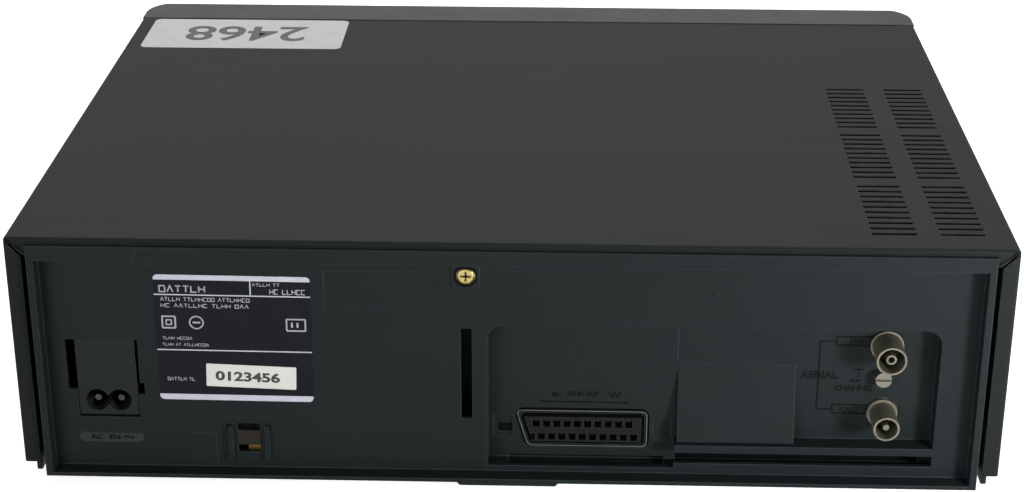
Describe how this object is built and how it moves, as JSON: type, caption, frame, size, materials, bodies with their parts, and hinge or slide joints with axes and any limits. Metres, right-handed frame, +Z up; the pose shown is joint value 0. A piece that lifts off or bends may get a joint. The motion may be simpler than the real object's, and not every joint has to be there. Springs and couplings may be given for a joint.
{
  "type": "video cassette recorder",
  "caption": "Front-loading video cassette recorder: steel cover with vents, moulded rear panel with mains, aerial and audio-video sockets, sprung cassette flap, basket, head drum and tape deck.",
  "frame": {"origin": "on the floor under the middle of the case", "axes": "+X to the right seen from the front, +Y to the rear panel, +Z up"},
  "size_m": [0.36, 0.288, 0.0997],
  "materials": {
    "cover_steel": "satin powder coat",
    "panel_plastic": "fine grained",
    "fascia_plastic": "satin",
    "window_plastic": "smoked, glossy",
    "button_plastic": "satin",
    "record_plastic": "satin",
    "socket_plastic": "semi-gloss",
    "contact_metal": "tinned",
    "nickel": "dull nickel",
    "brass": "yellow chromate",
    "steel": "bright zinc",
    "aluminium": "turned",
    "rubber": "matt",
    "foot_plastic": "matt",
    "white_plastic": "matt",
    "board_green": "lacquered",
    "board_brown": "lacquered",
    "chip_plastic": "matt",
    "capacitor_sleeve": "glossy sleeve",
    "winding": "varnished",
    "tube_glass": "dark glass"
  },
  "bodies": {
    "case": {"top_cover": "cover_steel", "rear_panel": "panel_plastic", "base_tub": "panel_plastic", "feet": "foot_plastic", "front_panel": "fascia_plastic", "display_window": "window_plastic", "rear_screw": "brass", "scart_socket": "socket_plastic", "scart_contacts": "contact_metal", "mains_inlet": "socket_plastic", "mains_pins": "contact_metal", "aerial_input": "nickel", "aerial_output": "nickel", "aerial_insulators": "white_plastic", "tuner_can": "steel", "main_board": "board_green", "power_board": "board_brown", "transformer": "winding", "capacitors": "capacitor_sleeve", "heatsink": "aluminium", "chips": "chip_plastic", "front_board": "board_green", "display_tube": "tube_glass", "deck_plate": "steel", "side_frames": "steel", "lower_drum": "aluminium", "capstan_bearing": "brass", "loading_motor": "steel", "erase_head": "steel", "sound_head": "steel"},
    "upper_drum": {"upper_drum": "aluminium", "drum_shaft": "steel"},
    "cassette_flap": {"cassette_flap": "fascia_plastic"},
    "power_button": {"power_button": "button_plastic"},
    "eject_button": {"eject_button": "button_plastic"},
    "rewind_button": {"rewind_button": "button_plastic"},
    "stop_button": {"stop_button": "button_plastic"},
    "play_button": {"play_button": "button_plastic"},
    "fast_forward_button": {"fast_forward_button": "button_plastic"},
    "pause_button": {"pause_button": "button_plastic"},
    "record_button": {"record_button": "record_plastic"},
    "channel_trimmer": {"channel_trimmer": "steel"},
    "capstan": {"capstan": "steel"},
    "pinch_arm": {"pinch_arm": "steel"},
    "pinch_roller": {"pinch_roller": "rubber"},
    "supply_reel": {"supply_reel": "white_plastic"},
    "takeup_reel": {"takeup_reel": "white_plastic"},
    "idler_arm": {"idler_arm": "steel"},
    "idler_gear": {"idler_gear": "white_plastic"},
    "loading_worm": {"loading_worm": "white_plastic"},
    "cam_gear": {"cam_gear": "white_plastic"},
    "supply_guide": {"supply_guide": "steel"},
    "takeup_guide": {"takeup_guide": "steel"},
    "tension_arm": {"tension_arm": "steel"},
    "basket_sliders": {"basket_sliders": "white_plastic"},
    "cassette_basket": {"cassette_basket": "steel"}
  },
  "joints": [
    {"name": "flap_swing", "type": "hinge", "parent": "case", "child": "cassette_flap", "pos_m": [-0.045, -0.1413, 0.0845], "axis": [1, 0, 0], "range_deg": [0, 80], "stiffness_Nm_per_rad": 0.01, "springref_deg": -17.19},
    {"name": "power_press", "type": "slide", "parent": "case", "child": "power_button", "axis": [0, 1, 0], "range_m": [0, 0.0012], "stiffness_N_per_m": 200},
    {"name": "eject_press", "type": "slide", "parent": "case", "child": "eject_button", "axis": [0, 1, 0], "range_m": [0, 0.0012], "stiffness_N_per_m": 200},
    {"name": "rewind_press", "type": "slide", "parent": "case", "child": "rewind_button", "axis": [0, 1, 0], "range_m": [0, 0.0012], "stiffness_N_per_m": 200},
    {"name": "stop_press", "type": "slide", "parent": "case", "child": "stop_button", "axis": [0, 1, 0], "range_m": [0, 0.0012], "stiffness_N_per_m": 200},
    {"name": "play_press", "type": "slide", "parent": "case", "child": "play_button", "axis": [0, 1, 0], "range_m": [0, 0.0012], "stiffness_N_per_m": 200},
    {"name": "fast_forward_press", "type": "slide", "parent": "case", "child": "fast_forward_button", "axis": [0, 1, 0], "range_m": [0, 0.0012], "stiffness_N_per_m": 200},
    {"name": "pause_press", "type": "slide", "parent": "case", "child": "pause_button", "axis": [0, 1, 0], "range_m": [0, 0.0012], "stiffness_N_per_m": 200},
    {"name": "record_press", "type": "slide", "parent": "case", "child": "record_button", "axis": [0, 1, 0], "range_m": [0, 0.0012], "stiffness_N_per_m": 200},
    {"name": "trimmer_turn", "type": "hinge", "parent": "case", "child": "channel_trimmer", "pos_m": [-0.1367, 0.1281, 0.0439], "axis": [0, 1, 0], "range_deg": [-150, 150]},
    {"name": "drum_spin", "type": "hinge", "parent": "case", "child": "upper_drum", "pos_m": [-0.045, 0.08, 0.0348], "axis": [0, -0.0872, 0.9962], "continuous": true},
    {"name": "capstan_spin", "type": "hinge", "parent": "case", "child": "capstan", "pos_m": [-0.105, 0.054, 0.0316], "axis": [0, 0, 1], "continuous": true},
    {"name": "pinch_swing", "type": "hinge", "parent": "case", "child": "pinch_arm", "pos_m": [-0.129, 0.072, 0.0316], "axis": [0, 0, 1], "range_deg": [-32, 0], "stiffness_Nm_per_rad": 0.02, "springref_deg": 5.73},
    {"name": "pinch_roller_spin", "type": "hinge", "parent": "pinch_arm", "child": "pinch_roller", "pos_m": [-0.10732, 0.07262, 0.0316], "axis": [0, 0, 1], "continuous": true},
    {"name": "supply_spin", "type": "hinge", "parent": "case", "child": "supply_reel", "pos_m": [0.001, -0.0055, 0.0316], "axis": [0, 0, 1], "continuous": true},
    {"name": "takeup_spin", "type": "hinge", "parent": "case", "child": "takeup_reel", "pos_m": [-0.091, -0.0055, 0.0316], "axis": [0, 0, 1], "continuous": true},
    {"name": "idler_swing", "type": "hinge", "parent": "case", "child": "idler_arm", "pos_m": [-0.045, -0.0355, 0.0316], "axis": [0, 0, 1], "range_deg": [-36, 36]},
    {"name": "idler_spin", "type": "hinge", "parent": "idler_arm", "child": "idler_gear", "pos_m": [-0.045, -0.0095, 0.0316], "axis": [0, 0, 1], "continuous": true},
    {"name": "cam_turn", "type": "hinge", "parent": "case", "child": "cam_gear", "pos_m": [0.023, 0.068, 0.0316], "axis": [0, 0, 1], "range_deg": [0, 170]},
    {"name": "worm_turn", "type": "hinge", "parent": "case", "child": "loading_worm", "pos_m": [0.0413, 0.068, 0.0411], "axis": [0, 1, 0], "range_deg": [0, 4100]},
    {"name": "supply_guide_slide", "type": "slide", "parent": "case", "child": "supply_guide", "axis": [0.4856, 0.8742, 0], "range_m": [0, 0.04118]},
    {"name": "takeup_guide_slide", "type": "slide", "parent": "case", "child": "takeup_guide", "axis": [-0.4856, 0.8742, 0], "range_m": [0, 0.04118]},
    {"name": "tension_swing", "type": "hinge", "parent": "case", "child": "tension_arm", "pos_m": [0.037, 0.0065, 0.0316], "axis": [0, 0, 1], "range_deg": [-12, 12], "stiffness_Nm_per_rad": 0.02},
    {"name": "basket_in", "type": "slide", "parent": "case", "child": "basket_sliders", "axis": [0, 1, 0], "range_m": [0, 0.05]},
    {"name": "basket_down", "type": "slide", "parent": "basket_sliders", "child": "cassette_basket", "axis": [0, 0, -1], "range_m": [0, 0.022]}
  ],
  "couplings": [
    {"joint": "worm_turn", "follows": "cam_turn", "ratio": 24},
    {"joint": "supply_guide_slide", "follows": "cam_turn", "m_per_rad": 0.01387},
    {"joint": "takeup_guide_slide", "follows": "cam_turn", "m_per_rad": 0.01387}
  ]
}
